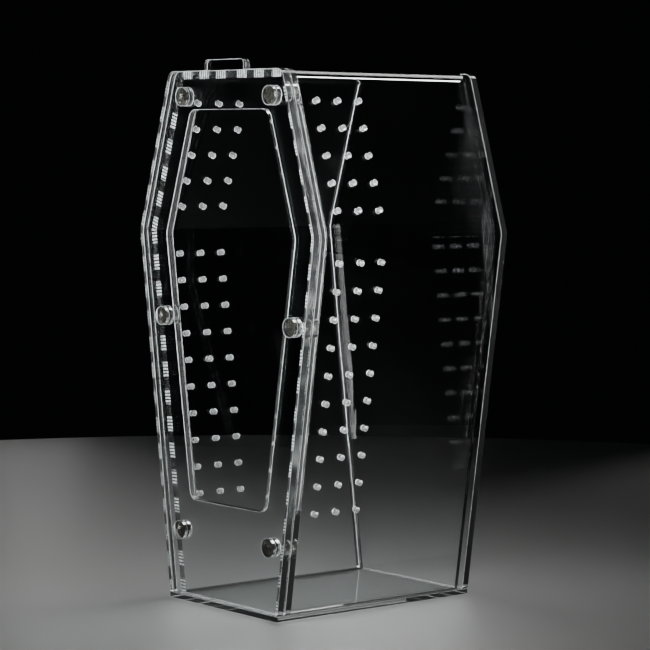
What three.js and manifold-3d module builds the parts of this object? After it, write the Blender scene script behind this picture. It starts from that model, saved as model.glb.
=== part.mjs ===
// Clear acrylic display enclosure with a coffin outline and a magnetic lift-off door.
// Millimetres, +Z up, front towards -Y. The origin is at the middle of the floor's underside.

import * as THREE from 'three';
import { mergeVertices } from 'three/addons/utils/BufferGeometryUtils.js';
import Module from 'manifold-3d';

const wasm = await Module();
wasm.setup();

// Overall size
const BODY_HEIGHT = 305;
const DEPTH = 144;
const SHOULDER_HEIGHT = 213.5;
const TOP_HALF_WIDTH = 52;
const SHOULDER_HALF_WIDTH = 80;
const BOTTOM_HALF_WIDTH = 50;

// Sheet stock
const BASE_THICKNESS = 3.2;
const SHEET_THICKNESS = 4.5;
const WALL_INSET = 4;
const DOOR_GAP = 0.9;
const GLUE_LINE = 0.1;

// Inside radius of the bends in the shell
const TOP_BEND_RADIUS = 2;
const SHOULDER_BEND_RADIUS = 5;

// Rounded corners of the plates
const TOP_CORNER_RADIUS = 6;
const SHOULDER_CORNER_RADIUS = 12;
const BOTTOM_CORNER_RADIUS = 1.5;

// Opening in the front frame
const OPENING_TOP = { halfWidth: 35, height: 283 };
const OPENING_SHOULDER = { halfWidth: 58, height: 212 };
const OPENING_BOTTOM = { halfWidth: 34, height: 59 };
const OPENING_CORNER_RADIUS = 6;
const OPENING_SHOULDER_RADIUS = 10;

// Pull tab on the door's top edge
const TAB_WIDTH = 36;
const TAB_HEIGHT = 6;
const TAB_RADIUS = 3;

// Magnets
const MAGNET_RADIUS = 5;
const MAGNET_THICKNESS = 2;
const MAGNET_BORE_RADIUS = 5.3;
const MAGNET_SETBACK = 0.3;
const MAGNET_PLACES = [
  { name: 'top', offset: 40, height: 290.5 },
  { name: 'middle', offset: 59, height: 164 },
  { name: 'bottom', offset: 41, height: 40.5 },
];

// Vent holes
const VENT_RADIUS = 1.5;
const VENT_PITCH = 15.75;
const VENT_COLUMN_PITCH = 15.2;
const VENT_COLUMNS = 3;
const VENT_FIRST_COLUMN = 24.3;
const VENT_FIRST_ROW = 15;
const UPPER_VENT_ROWS = 5;
const LOWER_VENT_ROWS = 10;

// Fineness of round shapes
const CORNER_SEGMENTS = 6;
const VENT_SEGMENTS = 12;
const MAGNET_SEGMENTS = 28;

// Depths of the plates, from the door's front face
const FRONT = -DEPTH / 2;
const FRAME_FRONT = FRONT + SHEET_THICKNESS + DOOR_GAP;
const FRAME_BACK = FRAME_FRONT + SHEET_THICKNESS;
const REAR_FRONT = DEPTH / 2 - SHEET_THICKNESS;
const PLATE_BOTTOM = BASE_THICKNESS + GLUE_LINE;
const SHELL_LENGTH = REAR_FRONT - FRAME_BACK - 2 * GLUE_LINE;

const acrylic = new THREE.MeshStandardMaterial({
  color: 0xe9f0f0,
  roughness: 0.06,
  metalness: 0,
  transparent: true,
  opacity: 0.3,
});
const nickel = new THREE.MeshStandardMaterial({ color: 0x6b6c60, roughness: 0.3, metalness: 0.9 });

// ---- Shapes --------------------------------------------------------------------------------

// Adds a corner to an outline as a round of the given radius, between the points before and
// after it. A radius of 0 leaves it sharp.
function roundCorner(shape, before, corner, after, radius) {
  if (radius === 0) {
    shape.lineTo(corner.x, corner.y);
    return;
  }
  const inward = new THREE.Vector2().subVectors(before, corner).normalize();
  const outward = new THREE.Vector2().subVectors(after, corner).normalize();
  const halfAngle = Math.acos(inward.dot(outward)) / 2;
  const setback = radius / Math.tan(halfAngle);
  const start = corner.clone().addScaledVector(inward, setback);
  const end = corner.clone().addScaledVector(outward, setback);
  const bisector = new THREE.Vector2().addVectors(inward, outward).normalize();
  const centre = corner.clone().addScaledVector(bisector, radius / Math.sin(halfAngle));
  const startAngle = Math.atan2(start.y - centre.y, start.x - centre.x);
  const endAngle = Math.atan2(end.y - centre.y, end.x - centre.x);
  const clockwise = inward.cross(outward) > 0;
  shape.absarc(centre.x, centre.y, radius, startAngle, endAngle, clockwise);
}

// A closed outline through the corners, each { x, z, radius }, listed anticlockwise.
function roundedOutline(corners) {
  const points = corners.map((corner) => new THREE.Vector2(corner.x, corner.z));
  const shape = new THREE.Shape();
  const count = corners.length;
  for (let i = 0; i < count; i += 1) {
    const before = points[(i + count - 1) % count];
    const after = points[(i + 1) % count];
    roundCorner(shape, before, points[i], after, corners[i].radius);
  }
  shape.closePath();
  return shape;
}

// The corners of a left-right symmetrical outline, from its right-hand half, bottom to top.
function mirrored(rightHalf) {
  const leftHalf = rightHalf.map((corner) => ({ ...corner, x: -corner.x })).reverse();
  return [...rightHalf, ...leftHalf];
}

function plateCorners() {
  return [
    { x: BOTTOM_HALF_WIDTH, z: PLATE_BOTTOM, radius: BOTTOM_CORNER_RADIUS },
    { x: SHOULDER_HALF_WIDTH, z: SHOULDER_HEIGHT, radius: SHOULDER_CORNER_RADIUS },
    { x: TOP_HALF_WIDTH, z: BODY_HEIGHT, radius: TOP_CORNER_RADIUS },
  ];
}

function plateOutline() {
  return roundedOutline(mirrored(plateCorners()));
}

function openingOutline() {
  return roundedOutline(mirrored([
    { x: OPENING_BOTTOM.halfWidth, z: OPENING_BOTTOM.height, radius: OPENING_CORNER_RADIUS },
    { x: OPENING_SHOULDER.halfWidth, z: OPENING_SHOULDER.height, radius: OPENING_SHOULDER_RADIUS },
    { x: OPENING_TOP.halfWidth, z: OPENING_TOP.height, radius: OPENING_CORNER_RADIUS },
  ]));
}

// The pull tab reaches down into the plate, so that the two join as one piece.
function tabOutline() {
  const half = TAB_WIDTH / 2;
  const low = BODY_HEIGHT - 2 * TAB_RADIUS - 1;
  const high = BODY_HEIGHT + TAB_HEIGHT;
  return roundedOutline(mirrored([
    { x: half, z: low, radius: TAB_RADIUS },
    { x: half, z: high, radius: TAB_RADIUS },
  ]));
}

// ---- Solids --------------------------------------------------------------------------------

// Turns an extrusion, drawn in X and Z and grown along its own +Z, to stand from y = front.
function stand(geometry, front, thickness) {
  geometry.rotateX(Math.PI / 2);
  geometry.translate(0, front + thickness, 0);
  return geometry;
}

function extrudePlate(shape, front, thickness) {
  const options = { depth: thickness, bevelEnabled: false, curveSegments: CORNER_SEGMENTS };
  return stand(new THREE.ExtrudeGeometry(shape, options), front, thickness);
}

function toSolid(geometry) {
  const bare = geometry.index ? geometry.toNonIndexed() : geometry.clone();
  bare.deleteAttribute('normal');
  bare.deleteAttribute('uv');
  const merged = mergeVertices(bare, 1e-4);
  return new wasm.Manifold(new wasm.Mesh({
    numProp: 3,
    vertProperties: new Float32Array(merged.attributes.position.array),
    triVerts: new Uint32Array(merged.index.array),
  }));
}

function toGeometry(solid) {
  const mesh = solid.getMesh();
  const geometry = new THREE.BufferGeometry();
  geometry.setAttribute('position', new THREE.BufferAttribute(mesh.vertProperties, 3));
  geometry.setIndex(new THREE.BufferAttribute(mesh.triVerts, 1));
  geometry.computeVertexNormals();
  return geometry;
}

function cutFrom(geometry, cutters) {
  return toGeometry(cutters.reduce((solid, cutter) => solid.subtract(toSolid(cutter)), toSolid(geometry)));
}

// A cylinder along Y, centred on a magnet's place.
function cylinderAlongY(radius, length, x, y, z) {
  const geometry = new THREE.CylinderGeometry(radius, radius, length, MAGNET_SEGMENTS);
  geometry.translate(x, y, z);
  return geometry;
}

function magnetBores(plateFront) {
  const middle = plateFront + SHEET_THICKNESS / 2;
  const bores = [];
  for (const { offset, height } of MAGNET_PLACES) {
    for (const side of [-1, 1]) {
      bores.push(cylinderAlongY(MAGNET_BORE_RADIUS, 2 * SHEET_THICKNESS, side * offset, middle, height));
    }
  }
  return bores;
}

// ---- Plates --------------------------------------------------------------------------------

function basePlate() {
  const geometry = new THREE.BoxGeometry(2 * BOTTOM_HALF_WIDTH, DEPTH, BASE_THICKNESS);
  geometry.translate(0, 0, BASE_THICKNESS / 2);
  return geometry;
}

function rearPanel() {
  return extrudePlate(plateOutline(), REAR_FRONT, SHEET_THICKNESS);
}

function frontFrame() {
  const shape = plateOutline();
  shape.holes.push(openingOutline());
  const plate = extrudePlate(shape, FRAME_FRONT, SHEET_THICKNESS);
  return cutFrom(plate, magnetBores(FRAME_FRONT));
}

function doorPanel() {
  const plate = toSolid(extrudePlate(plateOutline(), FRONT, SHEET_THICKNESS));
  const tab = toSolid(extrudePlate(tabOutline(), FRONT, SHEET_THICKNESS));
  return cutFrom(toGeometry(plate.add(tab)), magnetBores(FRONT));
}

// ---- Shell ---------------------------------------------------------------------------------

// The shell is one sheet, bent at both shoulders and both top corners.

const UPPER_LEAN = Math.atan2(SHOULDER_HALF_WIDTH - TOP_HALF_WIDTH, BODY_HEIGHT - SHOULDER_HEIGHT);
const LOWER_LEAN = Math.atan2(SHOULDER_HALF_WIDTH - BOTTOM_HALF_WIDTH, SHOULDER_HEIGHT - BASE_THICKNESS);

// The corner on the sheet's inside face that faces a corner on its outside face.
function insideCorner(before, corner, after, radius) {
  const inward = new THREE.Vector2(before.x - corner.x, before.z - corner.z).normalize();
  const outward = new THREE.Vector2(after.x - corner.x, after.z - corner.z).normalize();
  const halfAngle = Math.acos(inward.dot(outward)) / 2;
  const step = inward.add(outward).normalize().multiplyScalar(SHEET_THICKNESS / Math.sin(halfAngle));
  return { x: corner.x + step.x, z: corner.z + step.y, radius };
}

function shellOutline() {
  const foot = {
    x: SHOULDER_HALF_WIDTH - WALL_INSET - (SHOULDER_HEIGHT - PLATE_BOTTOM) * Math.tan(LOWER_LEAN),
    z: PLATE_BOTTOM,
    radius: 0,
  };
  const shoulder = {
    x: SHOULDER_HALF_WIDTH - WALL_INSET,
    z: SHOULDER_HEIGHT,
    radius: SHOULDER_BEND_RADIUS + SHEET_THICKNESS,
  };
  const top = {
    x: TOP_HALF_WIDTH - WALL_INSET,
    z: BODY_HEIGHT,
    radius: TOP_BEND_RADIUS + SHEET_THICKNESS,
  };
  const topAcross = { x: -top.x, z: top.z };
  const insideFoot = { x: foot.x - SHEET_THICKNESS / Math.cos(LOWER_LEAN), z: foot.z, radius: 0 };
  const insideShoulder = insideCorner(foot, shoulder, top, SHOULDER_BEND_RADIUS);
  const insideTop = insideCorner(shoulder, top, topAcross, TOP_BEND_RADIUS);
  const flip = (corner) => ({ ...corner, x: -corner.x });
  return roundedOutline([
    shoulder, top, flip(top), flip(shoulder), flip(foot),
    flip(insideFoot), flip(insideShoulder), flip(insideTop), insideTop, insideShoulder, insideFoot, foot,
  ]);
}

// Vent holes square to a wall that leans by the given angle. The rows start at the shoulder
// and step along the wall, upwards (step 1) or downwards (step -1).
function ventHoles(side, lean, rows, step) {
  const holes = [];
  const edge = SHOULDER_HALF_WIDTH - WALL_INSET;
  const half = SHEET_THICKNESS / 2;
  for (let row = 0; row < rows; row += 1) {
    const along = VENT_FIRST_ROW + row * VENT_PITCH;
    const x = edge - along * Math.sin(lean) - half * Math.cos(lean);
    const z = SHOULDER_HEIGHT + step * (along * Math.cos(lean) - half * Math.sin(lean));
    for (let column = 0; column < VENT_COLUMNS; column += 1) {
      const y = FRONT + VENT_FIRST_COLUMN + column * VENT_COLUMN_PITCH;
      const hole = new THREE.CylinderGeometry(
        VENT_RADIUS, VENT_RADIUS, 3 * SHEET_THICKNESS, VENT_SEGMENTS,
      );
      hole.rotateZ(Math.PI / 2 + side * step * lean);
      hole.translate(side * x, y, z);
      holes.push(hole);
    }
  }
  return holes;
}

function shell() {
  const sheet = extrudePlate(shellOutline(), FRAME_BACK + GLUE_LINE, SHELL_LENGTH);
  const holes = [-1, 1].flatMap((side) => [
    ...ventHoles(side, UPPER_LEAN, UPPER_VENT_ROWS, 1),
    ...ventHoles(side, LOWER_LEAN, LOWER_VENT_ROWS, -1),
  ]);
  return cutFrom(sheet, holes);
}

// ---- Assembly ------------------------------------------------------------------------------

function addPiece(group, name, geometry, material) {
  const mesh = new THREE.Mesh(geometry, material);
  mesh.name = name;
  group.add(mesh);
}

function addMagnets(group, prefix, faceDepth) {
  const middle = faceDepth + MAGNET_THICKNESS / 2;
  for (const { name, offset, height } of MAGNET_PLACES) {
    for (const [sideName, side] of [['left', -1], ['right', 1]]) {
      const magnet = cylinderAlongY(MAGNET_RADIUS, MAGNET_THICKNESS, side * offset, middle, height);
      addPiece(group, `${prefix}_magnet_${name}_${sideName}`, magnet, nickel);
    }
  }
}

const enclosure = new THREE.Group();
addPiece(enclosure, 'base_plate', basePlate(), acrylic);
addPiece(enclosure, 'rear_panel', rearPanel(), acrylic);
addPiece(enclosure, 'shell', shell(), acrylic);
addPiece(enclosure, 'front_frame', frontFrame(), acrylic);
addMagnets(enclosure, 'frame', FRAME_FRONT + MAGNET_SETBACK);

const door = new THREE.Group();
addPiece(door, 'door_panel', doorPanel(), acrylic);
addMagnets(door, 'door', FRONT + SHEET_THICKNESS - MAGNET_SETBACK - MAGNET_THICKNESS);
enclosure.add(door);

export default enclosure;
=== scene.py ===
"""Looks of the clear acrylic enclosure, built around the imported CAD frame. Metres, +Z up."""
import math

import bmesh
import bpy
from mathutils import Matrix, Vector


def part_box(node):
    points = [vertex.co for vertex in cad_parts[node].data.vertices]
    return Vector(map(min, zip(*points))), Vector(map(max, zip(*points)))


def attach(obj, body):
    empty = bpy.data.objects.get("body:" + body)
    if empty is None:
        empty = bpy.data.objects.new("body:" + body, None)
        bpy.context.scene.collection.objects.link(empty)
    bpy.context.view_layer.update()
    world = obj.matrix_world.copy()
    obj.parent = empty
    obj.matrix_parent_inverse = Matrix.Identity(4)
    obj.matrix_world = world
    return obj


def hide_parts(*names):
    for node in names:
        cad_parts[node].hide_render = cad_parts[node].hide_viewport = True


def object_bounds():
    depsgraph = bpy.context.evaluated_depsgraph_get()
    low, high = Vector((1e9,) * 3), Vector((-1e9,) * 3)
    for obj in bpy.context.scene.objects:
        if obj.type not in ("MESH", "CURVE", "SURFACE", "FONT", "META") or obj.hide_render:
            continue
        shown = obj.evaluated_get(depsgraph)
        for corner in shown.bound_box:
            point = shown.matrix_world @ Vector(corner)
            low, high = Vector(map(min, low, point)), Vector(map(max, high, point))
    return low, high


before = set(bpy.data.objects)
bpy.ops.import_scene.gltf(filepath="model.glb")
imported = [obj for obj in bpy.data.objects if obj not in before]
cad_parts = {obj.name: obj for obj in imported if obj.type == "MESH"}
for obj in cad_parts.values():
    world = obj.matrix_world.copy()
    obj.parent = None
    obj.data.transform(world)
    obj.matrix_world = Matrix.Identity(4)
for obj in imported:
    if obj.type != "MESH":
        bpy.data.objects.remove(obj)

MM = 0.001
cad_low, cad_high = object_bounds()

# ---- Camera --------------------------------------------------------------------------------

CAMERA_PLACE = Vector((1.0887, -0.9033, 0.2626))
CAMERA_TURN = math.radians(50.23)
CAMERA_PITCH = math.radians(-4.19)
CAMERA_ROLL = math.radians(0.34)
CAMERA_LENS = 135.0


def make_camera():
    data = bpy.data.cameras.new("camera")
    data.lens = CAMERA_LENS
    data.sensor_width = 36.0
    data.clip_start = 0.05
    data.clip_end = 50.0
    camera = bpy.data.objects.new("camera", data)
    ahead = Vector((
        -math.sin(CAMERA_TURN) * math.cos(CAMERA_PITCH),
        math.cos(CAMERA_TURN) * math.cos(CAMERA_PITCH),
        math.sin(CAMERA_PITCH),
    ))
    level = Vector((math.cos(CAMERA_TURN), math.sin(CAMERA_TURN), 0.0))
    upright = level.cross(ahead)
    right = level * math.cos(CAMERA_ROLL) + upright * math.sin(CAMERA_ROLL)
    up = right.cross(ahead)
    turn = Matrix((right, up, -ahead)).transposed().to_4x4()
    camera.matrix_world = Matrix.Translation(CAMERA_PLACE) @ turn
    bpy.context.scene.collection.objects.link(camera)
    bpy.context.scene.camera = camera


make_camera()

# ---- Sizes, from the frame -----------------------------------------------------------------

base_low, base_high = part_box("base_plate")
door_low, door_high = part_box("door_panel")
frame_low, frame_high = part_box("front_frame")
rear_low, rear_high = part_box("rear_panel")
shell_low, shell_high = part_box("shell")

WALL_INSET = 4 * MM
SHEET = rear_high.y - rear_low.y  # thickness of every sheet but the floor
TOP_HALF_WIDTH = 52 * MM
SHOULDER_HALF_WIDTH = 80 * MM
BOTTOM_HALF_WIDTH = base_high.x
BODY_TOP = rear_high.z
SHOULDER = 213.5 * MM
PLATE_BOTTOM = rear_low.z
TOP_BEND = 2 * MM
SHOULDER_BEND = 5 * MM

TOP_CORNER = 6 * MM
SHOULDER_CORNER = 12 * MM
BOTTOM_CORNER = 1.5 * MM
TAB_HALF_WIDTH = 18 * MM
TAB_CORNER = 3 * MM
TAB_FILLET = 1.2 * MM

# Corners of the frame's opening: half width, height, radius.
OPENING = (
    (34 * MM, 59 * MM, 6 * MM),
    (58 * MM, 212 * MM, 10 * MM),
    (35 * MM, 283 * MM, 6 * MM),
)

BORE_RADIUS = 5.3 * MM
VENT_RADIUS = 1.5 * MM
VENT_PITCH = 15.75 * MM
VENT_COLUMN_PITCH = 15.2 * MM
VENT_COLUMNS = 3
VENT_FIRST_COLUMN = 24.3 * MM
VENT_FIRST_ROW = 15 * MM
UPPER_ROWS = 5
LOWER_ROWS = 10

BASE_CORNER = 0.6 * MM
MAGNET_RIM = 0.35 * MM

CHAMFER = 0.2 * MM
FOOT_ZONE = 1.5 * MM
HOLDING_EDGE = 0.2 * MM
SAME_PLACE = 1e-7

ARC_STEP = math.radians(5)
BEND_STEPS = 12
BORE_SEGMENTS = 64
VENT_SEGMENTS = 32
MAGNET_SEGMENTS = 64
MAGNET_RIM_STEPS = 4
FLOOR_SEGMENTS = 160
SHEET_SHARP_ANGLE = math.radians(25)
MAGNET_SHARP_ANGLE = math.radians(40)

MAGNETS = [(level, side) for level in ("top", "middle", "bottom") for side in ("left", "right")]

# ---- Outlines ------------------------------------------------------------------------------


def rounded(corners):
    """Points of a closed outline. Each corner is (x, z, radius), listed anticlockwise."""
    points = []
    count = len(corners)
    for i, (x, z, radius) in enumerate(corners):
        corner = Vector((x, z))
        before = (Vector(corners[i - 1][:2]) - corner).normalized()
        after = (Vector(corners[(i + 1) % count][:2]) - corner).normalized()
        half = before.angle(after) / 2
        turn = math.pi - 2 * half
        centre = corner + (before + after).normalized() * radius / math.sin(half)
        start = corner + before * radius / math.tan(half) - centre
        convex = before.x * after.y - before.y * after.x < 0
        steps = max(2, math.ceil(turn / ARC_STEP))
        for step in range(steps + 1):
            angle = turn * step / steps * (1 if convex else -1)
            cosine, sine = math.cos(angle), math.sin(angle)
            points.append((
                centre.x + start.x * cosine - start.y * sine,
                centre.y + start.x * sine + start.y * cosine,
            ))
    return points


def mirrored(right_half):
    return right_half + [(-x, z, radius) for x, z, radius in reversed(right_half)]


def circle(x, z, radius, segments):
    turns = [2 * math.pi * i / segments for i in range(segments)]
    return [(x + radius * math.cos(t), z + radius * math.sin(t)) for t in turns]


def plate_outline():
    return rounded(mirrored([
        (BOTTOM_HALF_WIDTH, PLATE_BOTTOM, BOTTOM_CORNER),
        (SHOULDER_HALF_WIDTH, SHOULDER, SHOULDER_CORNER),
        (TOP_HALF_WIDTH, BODY_TOP, TOP_CORNER),
    ]))


def door_outline():
    return rounded(mirrored([
        (BOTTOM_HALF_WIDTH, PLATE_BOTTOM, BOTTOM_CORNER),
        (SHOULDER_HALF_WIDTH, SHOULDER, SHOULDER_CORNER),
        (TOP_HALF_WIDTH, BODY_TOP, TOP_CORNER),
        (TAB_HALF_WIDTH, BODY_TOP, TAB_FILLET),
        (TAB_HALF_WIDTH, door_high.z, TAB_CORNER),
    ]))


def bores():
    found = []
    for level, side in MAGNETS:
        low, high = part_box(f"door_magnet_{level}_{side}")
        found.append(circle((low.x + high.x) / 2, (low.z + high.z) / 2, BORE_RADIUS,
                            BORE_SEGMENTS))
    return found


# ---- Sheets of acrylic ---------------------------------------------------------------------


# Material slots of a sheet. The last three are the shell's alone.
FACE, CUT, RIM, FRONT_END, REAR_END, VENT = range(6)

# How far a normal points along the thickness: above the first it is a face of the sheet,
# below the second a cut through it, and between them a chamfer.
FACE_SLOPE = 0.99
CUT_SLOPE = 0.3


def blank_mesh(name, outlines, thickness):
    """A flat sheet with fine chamfers, cut to the first outline and pierced by the rest."""
    curve = bpy.data.curves.new(name, "CURVE")
    curve.dimensions = "2D"
    curve.fill_mode = "BOTH"
    curve.extrude = thickness / 2 - CHAMFER
    curve.bevel_depth = CHAMFER
    curve.bevel_resolution = 0
    curve.offset = -CHAMFER
    for outline in outlines:
        spline = curve.splines.new("POLY")
        spline.points.add(len(outline) - 1)
        for point, (x, y) in zip(spline.points, outline):
            point.co = (x, y, 0, 1)
        spline.use_cyclic_u = True
    maker = bpy.data.objects.new(name + "_curve", curve)
    bpy.context.scene.collection.objects.link(maker)
    graph = bpy.context.evaluated_depsgraph_get()
    mesh = bpy.data.meshes.new_from_object(maker.evaluated_get(graph), depsgraph=graph)
    bpy.data.objects.remove(maker)
    bpy.data.curves.remove(curve)
    weld(mesh)
    return mesh


def weld(mesh):
    shape = bmesh.new()
    shape.from_mesh(mesh)
    bmesh.ops.remove_doubles(shape, verts=shape.verts, dist=SAME_PLACE)
    shape.to_mesh(mesh)
    shape.free()


def mark_cuts(mesh):
    """Sorts a flat sheet's polygons into its faces, the cuts through it, and its chamfers."""
    for face in mesh.polygons:
        slope = abs(face.normal.z)
        face.material_index = FACE if slope > FACE_SLOPE else CUT if slope < CUT_SLOPE else RIM
        face.use_smooth = True


def finish_sheet(name, mesh, place):
    """Puts a sheet in its place, with every normal outward. place may mirror it."""
    shape = bmesh.new()
    shape.from_mesh(mesh)
    shape.transform(place)
    bmesh.ops.recalc_face_normals(shape, faces=shape.faces)
    if shape.calc_volume(signed=True) < 0:
        bmesh.ops.reverse_faces(shape, faces=shape.faces)
    shape.to_mesh(mesh)
    shape.free()
    mesh.name = name
    mesh.set_sharp_from_angle(angle=SHEET_SHARP_ANGLE)
    piece = bpy.data.objects.new(name, mesh)
    bpy.context.scene.collection.objects.link(piece)
    return piece


def sheet(name, outlines, thickness, place):
    """A flat sheet. place takes its own axes, with its thickness along Z, to the row frame."""
    mesh = blank_mesh(name, outlines, thickness)
    mark_cuts(mesh)
    return finish_sheet(name, mesh, place)


def upright(front, back):
    """Stands a sheet drawn in X and Z between two depths."""
    return Matrix(((1, 0, 0, 0), (0, 0, -1, (front + back) / 2), (0, 1, 0, 0), (0, 0, 0, 1)))


# ---- Materials -----------------------------------------------------------------------------

ACRYLIC_IOR = 1.49
FACE_COLOUR = (0.975, 0.99, 0.99, 1)
CUT_COLOUR = (0.97, 0.99, 0.99, 1)
WELD_COLOUR = (0.96, 0.98, 0.98, 1)
NICKEL_COLOUR = (0.09, 0.09, 0.075, 1)
FLOOR_COLOUR = (0.5, 0.5, 0.49, 1)

# How much of each surface is clear. The rest is milky.
FACE_CLARITY = 1.0
EDGE_CLARITY = 0.97
BORE_CLARITY = 0.76
RIM_CLARITY = 0.7
WELD_CLARITY = 0.5

# What a shadow ray keeps as it passes each surface.
FACE_SHADE = (0.93, 0.94, 0.94)
EDGE_SHADE = (0.7, 0.72, 0.72)
BORE_SHADE = (0.6, 0.62, 0.62)
RIM_SHADE = (0.5, 0.52, 0.52)

# The front end's painted reflections of the vents: frosted strokes, in groups one vent pitch apart.
VENT_REFLECTION_STROKE = 1.9 * MM
VENT_REFLECTION_SHIFT = 0.3
# Painted shade: the see-through windows between the strokes are dimmed to this colour.
FRONT_END_PAINTED_SHADE = (0.25, 0.26, 0.26, 1)
# The rear end and feet show what lies behind them, dimmed to this dark colour.
REAR_END_DARK_TINT = (0.12, 0.12, 0.12, 1)


def new_material(name):
    material = bpy.data.materials.new(name)
    material.use_nodes = True
    nodes = material.node_tree.nodes
    return material, nodes, material.node_tree.links, nodes["Principled BSDF"]


def let_light_through(nodes, links, shader, tint):
    """Shadow rays pass straight through the sheet, dimmed by its tint."""
    clear_path = nodes.new("ShaderNodeBsdfTransparent")
    clear_path.inputs["Color"].default_value = (*tint, 1)
    path = nodes.new("ShaderNodeLightPath")
    mix = nodes.new("ShaderNodeMixShader")
    links.new(path.outputs["Is Shadow Ray"], mix.inputs["Fac"])
    links.new(shader.outputs["BSDF"], mix.inputs[1])
    links.new(clear_path.outputs["BSDF"], mix.inputs[2])
    links.new(mix.outputs["Shader"], nodes["Material Output"].inputs["Surface"])


def noise(nodes, links, scale, detail=3.0, stretch=(1, 1, 1)):
    """Noise over the object's own coordinates, scale in cells per metre."""
    place = nodes.new("ShaderNodeTexCoord")
    turn = nodes.new("ShaderNodeMapping")
    turn.inputs["Scale"].default_value = stretch
    field = nodes.new("ShaderNodeTexNoise")
    field.inputs["Scale"].default_value = scale
    field.inputs["Detail"].default_value = detail
    links.new(place.outputs["Object"], turn.inputs["Vector"])
    links.new(turn.outputs["Vector"], field.inputs["Vector"])
    return field.outputs["Fac"]


def ramp(nodes, links, source, low, high, from_low=0.3, from_high=0.7):
    """Maps a field onto a range of values."""
    span = nodes.new("ShaderNodeMapRange")
    span.inputs["From Min"].default_value = from_low
    span.inputs["From Max"].default_value = from_high
    span.inputs["To Min"].default_value = low
    span.inputs["To Max"].default_value = high
    links.new(source, span.inputs["Value"])
    return span.outputs["Result"]


def bump(nodes, links, height, shader, distance, strength=1.0):
    relief = nodes.new("ShaderNodeBump")
    relief.inputs["Strength"].default_value = strength
    relief.inputs["Distance"].default_value = distance
    links.new(height, relief.inputs["Height"])
    links.new(relief.outputs["Normal"], shader.inputs["Normal"])


def clear_shader(name, colour, clarity):
    material, nodes, links, shader = new_material(name)
    shader.inputs["Base Color"].default_value = colour
    shader.inputs["IOR"].default_value = ACRYLIC_IOR
    shader.inputs["Transmission Weight"].default_value = clarity
    return material, nodes, links, shader


def roughen(nodes, links, shader, field, low, high, from_low=0.3, from_high=0.7):
    rough = ramp(nodes, links, field, low, high, from_low, from_high)
    links.new(rough, shader.inputs["Roughness"])


def acrylic(name):
    """The polished faces of cast sheet: clear, with faint waviness and smears."""
    material, nodes, links, shader = clear_shader(name, FACE_COLOUR, FACE_CLARITY)
    smears = noise(nodes, links, scale=38, detail=5, stretch=(1, 1, 0.35))
    roughen(nodes, links, shader, smears, 0.0, 0.02, from_low=0.52, from_high=0.75)
    waves = noise(nodes, links, scale=22, detail=2)
    bump(nodes, links, waves, shader, distance=0.000004, strength=0.6)
    let_light_through(nodes, links, shader, FACE_SHADE)
    return material


def edge_acrylic(name):
    """Laser-cut edges: clear, a little milky, with faint striations across the sheet."""
    material, nodes, links, shader = clear_shader(name, CUT_COLOUR, EDGE_CLARITY)
    patches = noise(nodes, links, scale=120, detail=4)
    roughen(nodes, links, shader, patches, 0.0, 0.06, from_low=0.35, from_high=0.8)
    striations = noise(nodes, links, scale=300, detail=2, stretch=(1, 0.08, 1))
    bump(nodes, links, striations, shader, distance=0.00001, strength=0.4)
    let_light_through(nodes, links, shader, EDGE_SHADE)
    return material


def bore_acrylic(name):
    """Walls of the vent holes, frosted by the cutter."""
    material, nodes, links, shader = clear_shader(name, CUT_COLOUR, BORE_CLARITY)
    roughen(nodes, links, shader, noise(nodes, links, scale=700, detail=4), 0.08, 0.3)
    grain = noise(nodes, links, scale=2500, detail=3)
    bump(nodes, links, grain, shader, distance=0.00002, strength=0.6)
    let_light_through(nodes, links, shader, BORE_SHADE)
    return material


def math_node(nodes, links, operation, first, second=None):
    step = nodes.new("ShaderNodeMath")
    step.operation = operation
    for slot, value in ((0, first), (1, second)):
        if isinstance(value, float):
            step.inputs[slot].default_value = value
        elif value is not None:
            links.new(value, step.inputs[slot])
    return step.outputs["Value"]


def from_shoulder(nodes, links):
    """Distance along the shell's sheet from the nearer shoulder, whichever way."""
    place = nodes.new("ShaderNodeUVMap")
    place.uv_map = "blank"
    split = nodes.new("ShaderNodeSeparateXYZ")
    links.new(place.outputs["UV"], split.inputs["Vector"])
    half = blank_length() / 2
    from_top = math_node(nodes, links, "SUBTRACT", split.outputs["X"], half)
    from_top = math_node(nodes, links, "ABSOLUTE", from_top)
    beyond = math_node(nodes, links, "SUBTRACT", from_top, half - shoulder_place())
    return math_node(nodes, links, "ABSOLUTE", beyond)


def bands(nodes, links, along, pitch, offset, low, high):
    """Soft-edged bands a pitch apart."""
    shifted = math_node(nodes, links, "SUBTRACT", along, offset)
    turn = math_node(nodes, links, "MULTIPLY", shifted, 2 * math.pi / pitch)
    wave = math_node(nodes, links, "COSINE", turn)
    return ramp(nodes, links, wave, 0, 1, low, high)


def painted_vent_reflections(nodes, links):
    """Painted reflections of the vents round the shell's front end: groups of frosted strokes, one
    group to each row of vents.
    """
    along = from_shoulder(nodes, links)
    first_group = first_vent_turn() + VENT_REFLECTION_SHIFT * VENT_PITCH
    groups = bands(nodes, links, along, VENT_PITCH, first_group, -0.3, 0.0)
    strokes = bands(nodes, links, along, VENT_REFLECTION_STROKE, 0.0, -0.6, 0.2)
    marks = math_node(nodes, links, "MULTIPLY", groups, strokes)
    return ramp(nodes, links, marks, 0.03, 1.0, 0.0, 1.0)


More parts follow.
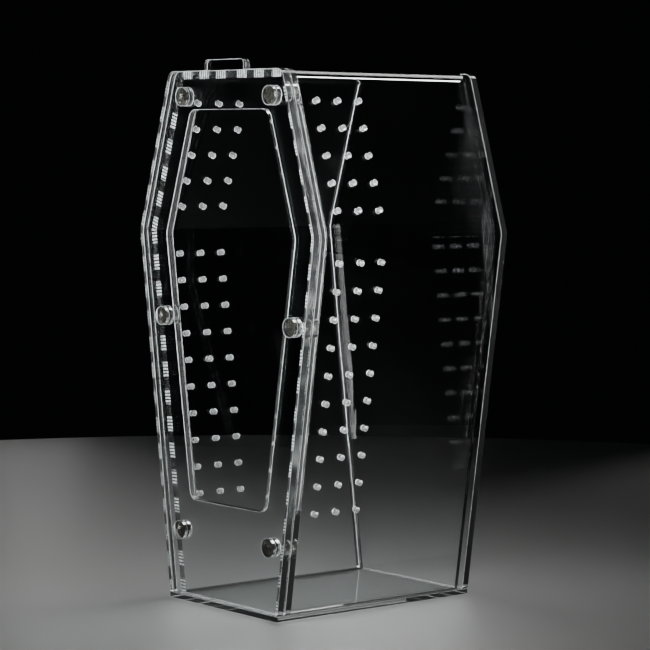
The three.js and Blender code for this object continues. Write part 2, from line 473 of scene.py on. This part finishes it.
def shell_end_acrylic(name, banded):
    """The shell's ends: a dimmed see-through share mixed with frosted white by a mask. On the front
    end the frosted strokes are painted reflections of the vents, and the dimmed windows between
    them are painted shade. On the rear end and feet the see-through share is darker still, with
    faint frosted specks.
    """
    material, nodes, links, shader = clear_shader(name, WELD_COLOUR, WELD_CLARITY)
    roughen(nodes, links, shader, noise(nodes, links, scale=500, detail=4), 0.15, 0.45)
    if banded:
        # Painted reflections of the vents on the front end.
        frost_and_painted_reflections = painted_vent_reflections(nodes, links)
    else:
        specks = noise(nodes, links, scale=260, detail=5)
        frost_and_painted_reflections = ramp(nodes, links, specks, 0.0, 0.03, from_low=0.5, from_high=0.75)
    dimmed_see_through = nodes.new("ShaderNodeBsdfTransparent")
    # Dims what shows through the end: on the front end this is painted shade between the strokes.
    dimmed_see_through.inputs["Color"].default_value = FRONT_END_PAINTED_SHADE if banded else REAR_END_DARK_TINT
    end_mix = nodes.new("ShaderNodeMixShader")
    links.new(frost_and_painted_reflections, end_mix.inputs["Fac"])
    links.new(dimmed_see_through.outputs["BSDF"], end_mix.inputs[1])
    links.new(shader.outputs["BSDF"], end_mix.inputs[2])
    links.new(end_mix.outputs["Shader"], nodes["Material Output"].inputs["Surface"])
    return material


def rim_acrylic(name):
    """Scraped chamfers: frosted unevenly, with small nicks."""
    material, nodes, links, shader = clear_shader(name, CUT_COLOUR, RIM_CLARITY)
    roughen(nodes, links, shader, noise(nodes, links, scale=400, detail=5), 0.2, 0.55)
    nicks = noise(nodes, links, scale=1800, detail=3)
    bump(nodes, links, nicks, shader, distance=0.00005)
    let_light_through(nodes, links, shader, RIM_SHADE)
    return material


def nickel(name):
    """Dark nickel plating with an uneven polish and a fine grain."""
    material, nodes, links, shader = new_material(name)
    shader.inputs["Base Color"].default_value = NICKEL_COLOUR
    shader.inputs["Metallic"].default_value = 1.0
    roughen(nodes, links, shader, noise(nodes, links, scale=900, detail=4), 0.18, 0.42)
    grain = noise(nodes, links, scale=2500, detail=3)
    bump(nodes, links, grain, shader, distance=0.00001, strength=0.5)
    return material


def finish_piece(piece, body, node, materials):
    for material in materials:
        piece.data.materials.append(material)
    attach(piece, body)
    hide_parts(node)
    return piece


# ---- Pieces --------------------------------------------------------------------------------


def add_plates():
    rear = sheet("rear_sheet", [plate_outline()], SHEET, upright(rear_low.y, rear_high.y))
    finish_piece(rear, "enclosure", "rear_panel", ACRYLIC)
    ring = sheet("front_frame_sheet", [plate_outline(), rounded(mirrored(list(OPENING))), *bores()],
                 SHEET, upright(frame_low.y, frame_high.y))
    finish_piece(ring, "enclosure", "front_frame", ACRYLIC)
    door = sheet("door_sheet", [door_outline(), *bores()], SHEET, upright(door_low.y, door_high.y))
    finish_piece(door, "door", "door_panel", ACRYLIC)


def add_base():
    half_depth = (base_high.y - base_low.y) / 2
    outline = rounded([
        (base_high.x, -half_depth, BASE_CORNER), (base_high.x, half_depth, BASE_CORNER),
        (base_low.x, half_depth, BASE_CORNER), (base_low.x, -half_depth, BASE_CORNER),
    ])
    middle = (base_low + base_high) / 2
    base = sheet("floor_sheet", [outline], base_high.z - base_low.z, Matrix.Translation(middle))
    finish_piece(base, "enclosure", "base_plate", ACRYLIC)


def shell_path():
    """The middle of the shell's sheet seen from the front, from the right foot over the top.

    Gives straight and bent stretches as (start, end, centre), with no centre where straight.
    """
    edge = SHOULDER_HALF_WIDTH - WALL_INSET
    rise = SHOULDER - base_high.z
    lean = math.atan2(SHOULDER_HALF_WIDTH - BOTTOM_HALF_WIDTH, rise)
    foot = Vector((edge - (SHOULDER - PLATE_BOTTOM) * math.tan(lean), PLATE_BOTTOM))
    corners = [
        (Vector((edge, SHOULDER)), SHOULDER_BEND),
        (Vector((TOP_HALF_WIDTH - WALL_INSET, BODY_TOP)), TOP_BEND),
        (Vector((WALL_INSET - TOP_HALF_WIDTH, BODY_TOP)), TOP_BEND),
        (Vector((-edge, SHOULDER)), SHOULDER_BEND),
    ]
    stretches = []
    place = foot
    ends = [foot] + [corner for corner, _ in corners] + [Vector((-foot.x, foot.y))]
    for i, (corner, bend) in enumerate(corners):
        back = (ends[i] - corner).normalized()
        ahead = (ends[i + 2] - corner).normalized()
        half = back.angle(ahead) / 2
        outer = bend + SHEET
        centre = corner + (back + ahead).normalized() * outer / math.sin(half)
        setback = outer / math.tan(half)
        stretches.append((place, corner + back * setback, None))
        stretches.append((corner + back * setback, corner + ahead * setback, centre))
        place = corner + ahead * setback
    stretches.append((place, ends[-1], None))
    return stretches


def bend_angle(start, end, centre):
    return (start - centre).angle(end - centre)


def stretch_length(start, end, centre):
    """Length along the middle of the sheet."""
    if centre is None:
        return (end - start).length
    return bend_angle(start, end, centre) * ((start - centre).length - SHEET / 2)


def blank_length():
    return sum(stretch_length(*stretch) for stretch in shell_path())


def shoulder_place():
    """Distance along the blank from a foot to the middle of the shoulder's bend."""
    stretches = shell_path()
    return stretch_length(*stretches[0]) + stretch_length(*stretches[1]) / 2


def first_vent_straight():
    """Distance along the sheet from the end of the shoulder's bend to the first vents."""
    setback = (SHOULDER_BEND + SHEET) * math.tan(bend_angle(*shell_path()[1]) / 2)
    return VENT_FIRST_ROW - setback


def first_vent_turn():
    """Distance along the sheet from the middle of the shoulder's bend to the first vents."""
    return first_vent_straight() + stretch_length(*shell_path()[1]) / 2


def vent_places(stretches):
    """Distances along the flat blank of every row of vents."""
    starts = [0.0]
    for stretch in stretches:
        starts.append(starts[-1] + stretch_length(*stretch))
    first = first_vent_straight()
    low_right = [starts[1] - first - row * VENT_PITCH for row in range(LOWER_ROWS)]
    up_right = [starts[2] + first + row * VENT_PITCH for row in range(UPPER_ROWS)]
    return low_right + up_right + [starts[-1] - place for place in low_right + up_right]


def bend_blank(mesh, stretches):
    """Bends the flat blank, which lies along X from 0, into the shell."""
    shape = bmesh.new()
    shape.from_mesh(mesh)
    spans = []
    start = 0.0
    for stretch in stretches:
        length = stretch_length(*stretch)
        spans.append((start, length, stretch))
        if stretch[2] is not None:
            steps = [start + length * step / BEND_STEPS for step in range(BEND_STEPS + 1)]
            for cut in [start - HOLDING_EDGE, *steps, start + length + HOLDING_EDGE]:
                bmesh.ops.bisect_plane(
                    shape, geom=shape.verts[:] + shape.edges[:] + shape.faces[:],
                    plane_co=(cut, 0, 0), plane_no=(1, 0, 0), dist=SAME_PLACE,
                )
        start += length
    for vert in shape.verts:
        level_foot(vert, start)
        vert.co = bent(vert.co, spans)
    shape.to_mesh(mesh)
    shape.free()


def level_foot(vert, length):
    """Slides the ends of the blank, so that they are level once it is bent."""
    slope = (SHOULDER_HALF_WIDTH - BOTTOM_HALF_WIDTH) / (SHOULDER - base_high.z)
    shift = (vert.co.z - SHEET / 2) * slope
    if vert.co.x < FOOT_ZONE:
        vert.co.x += shift
    elif vert.co.x > length - FOOT_ZONE:
        vert.co.x -= shift


def bent(point, spans):
    """Where a point of the blank goes. Its Z, from the middle of the sheet, points outward."""
    for start, length, (first, last, centre) in spans:
        if point.x <= start + length:
            break
    depth = point.z - SHEET / 2
    if centre is None:
        along = (last - first).normalized()
        outward = Vector((along.y, -along.x))
        flat = first + along * (point.x - start) + outward * depth
    else:
        turn = bend_angle(first, last, centre) * (point.x - start) / length
        arm = (first - centre).normalized()
        cosine, sine = math.cos(turn), math.sin(turn)
        arm = Vector((arm.x * cosine - arm.y * sine, arm.x * sine + arm.y * cosine))
        flat = centre + arm * ((first - centre).length + depth)
    return Vector((flat.x, point.y, flat.y))


def mark_shell(mesh, length):
    """Sorts the blank's cuts into front end, rear end with feet, and vents, and notes its flat
    coordinates.
    """
    for face in mesh.polygons:
        middle = face.center
        inside = FOOT_ZONE < middle.x < length - FOOT_ZONE
        if face.material_index == FACE:
            continue
        if middle.y < shell_low.y + FOOT_ZONE:
            face.material_index = FRONT_END
        elif middle.y > shell_high.y - FOOT_ZONE or not inside:
            face.material_index = REAR_END
        elif face.material_index == CUT:
            face.material_index = VENT
    while mesh.uv_layers:
        mesh.uv_layers.remove(mesh.uv_layers[0])
    layer = mesh.uv_layers.new(name="blank")
    for loop in mesh.loops:
        place = mesh.vertices[loop.vertex_index].co
        layer.data[loop.index].uv = (place.x, place.y)


def add_shell():
    stretches = shell_path()
    length = blank_length()
    outlines = [[
        (0, shell_low.y), (length, shell_low.y), (length, shell_high.y), (0, shell_high.y),
    ]]
    for place in vent_places(stretches):
        for column in range(VENT_COLUMNS):
            y = cad_low.y + VENT_FIRST_COLUMN + column * VENT_COLUMN_PITCH
            outlines.append(circle(place, y, VENT_RADIUS, VENT_SEGMENTS))
    mesh = blank_mesh("shell_sheet", outlines, SHEET)
    mark_cuts(mesh)
    mark_shell(mesh, length)
    bend_blank(mesh, stretches)
    shell = finish_sheet("shell_sheet", mesh, Matrix.Identity(4))
    finish_piece(shell, "enclosure", "shell",
                 (*ACRYLIC, front_end_painted_light, rear_weld, bore))


def magnet(name, low, high):
    """A turned disc along Y with rounded rims."""
    radius = (high.x - low.x) / 2
    half = (high.y - low.y) / 2
    profile = [(0, half)]
    for step in range(MAGNET_RIM_STEPS + 1):
        angle = math.pi / 2 * step / MAGNET_RIM_STEPS
        profile.append((
            radius - MAGNET_RIM + MAGNET_RIM * math.sin(angle),
            half - MAGNET_RIM + MAGNET_RIM * math.cos(angle),
        ))
    profile += [(r, -d) for r, d in reversed(profile)]
    shape = bmesh.new()
    chain = [shape.verts.new((r, d, 0)) for r, d in profile]
    edges = [shape.edges.new(pair) for pair in zip(chain, chain[1:])]
    bmesh.ops.spin(shape, geom=chain + edges, cent=(0, 0, 0), axis=(0, 1, 0), angle=2 * math.pi,
                   steps=MAGNET_SEGMENTS, use_duplicate=False)
    bmesh.ops.remove_doubles(shape, verts=shape.verts, dist=SAME_PLACE)
    bmesh.ops.recalc_face_normals(shape, faces=shape.faces)
    for face in shape.faces:
        face.smooth = True
    shape.transform(Matrix.Translation((low + high) / 2))
    mesh = bpy.data.meshes.new(name)
    shape.to_mesh(mesh)
    shape.free()
    mesh.set_sharp_from_angle(angle=MAGNET_SHARP_ANGLE)
    piece = bpy.data.objects.new(name, mesh)
    bpy.context.scene.collection.objects.link(piece)
    return piece


def add_magnets():
    for owner, body in (("door", "door"), ("frame", "enclosure")):
        for level, side in MAGNETS:
            node = f"{owner}_magnet_{level}_{side}"
            low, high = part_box(node)
            disc = magnet(f"{owner}_disc_{level}_{side}", low, high)
            finish_piece(disc, body, node, (metal,))


clear = acrylic("clear_acrylic")
edge = edge_acrylic("laser_cut_acrylic")
rim = rim_acrylic("acrylic_rim")
bore = bore_acrylic("vent_bore_acrylic")
# Front end: painted reflections of the vents, with painted shade between them.
front_end_painted_light = shell_end_acrylic("front_end_painted_light_acrylic", True)
# Rear end and feet: nearly all see-through, dimmed dark, with faint frosted specks.
rear_weld = shell_end_acrylic("rear_weld_acrylic", False)
metal = nickel("dark_nickel")
ACRYLIC = (clear, edge, rim)

add_plates()
add_base()
add_shell()
add_magnets()

# ---- Studio --------------------------------------------------------------------------------

FLOOR_RADIUS = 0.8
FLOOR_CLEARANCE = 0.0005
FLOOR_ROUGHNESS = 0.55
WORLD_COLOUR = (0.0015, 0.0016, 0.0018, 1)

TOP_LAMP_PLACE = (0, 0.8, 1.1)
TOP_LAMP_AIM = (0, 0, 0.28)
TOP_LAMP_SIZE = (0.8, 0.4)
TOP_LAMP_POWER = 0.38
TOP_LAMP_SPREAD = 35

# Upright strips round the object: name, azimuth in degrees, width, power.
STRIPS = (
    ("back_left", 67.5, 0.1, 0.36),
    ("back_right", 22.5, 0.1, 0.42),
    ("right_key", 247.5, 0.1, 0.4),
    ("front_left", 157.5, 0.1, 0.22),
)
STRIP_DISTANCE = 1.05
STRIP_HEIGHT = 0.18
STRIP_LENGTH = 0.32
STRIP_AIM = 0.27
STRIP_SPREAD = 30


def add_floor():
    material, _, _, shader = new_material("pale_floor")
    shader.inputs["Base Color"].default_value = FLOOR_COLOUR
    shader.inputs["Roughness"].default_value = FLOOR_ROUGHNESS
    mesh = bpy.data.meshes.new("floor")
    shape = bmesh.new()
    bmesh.ops.create_circle(shape, cap_ends=True, radius=FLOOR_RADIUS, segments=FLOOR_SEGMENTS)
    shape.transform(Matrix.Translation((0, 0, -FLOOR_CLEARANCE)))
    shape.to_mesh(mesh)
    shape.free()
    mesh.materials.append(material)
    floor = bpy.data.objects.new("floor", mesh)
    bpy.context.scene.collection.objects.link(floor)


def softbox(name, place, target, width, height, power, spread):
    data = bpy.data.lights.new(name, "AREA")
    data.shape = "RECTANGLE"
    data.size = width
    data.size_y = height
    data.energy = power
    data.spread = math.radians(spread)
    lamp = bpy.data.objects.new(name, data)
    lamp.location = place
    lamp.rotation_euler = (Vector(target) - Vector(place)).to_track_quat("-Z", "Y").to_euler()
    lamp.visible_camera = False
    bpy.context.scene.collection.objects.link(lamp)


def add_studio():
    world = bpy.data.worlds.new("studio")
    world.use_nodes = True
    world.node_tree.nodes["Background"].inputs["Color"].default_value = WORLD_COLOUR
    bpy.context.scene.world = world
    softbox("top_back", TOP_LAMP_PLACE, TOP_LAMP_AIM, *TOP_LAMP_SIZE, TOP_LAMP_POWER,
            TOP_LAMP_SPREAD)
    for name, azimuth, width, power in STRIPS:
        turn = math.radians(azimuth)
        place = (-math.sin(turn) * STRIP_DISTANCE, math.cos(turn) * STRIP_DISTANCE, STRIP_HEIGHT)
        softbox(name, place, (0, 0, STRIP_AIM), width, STRIP_LENGTH, power, STRIP_SPREAD)


add_floor()
add_studio()
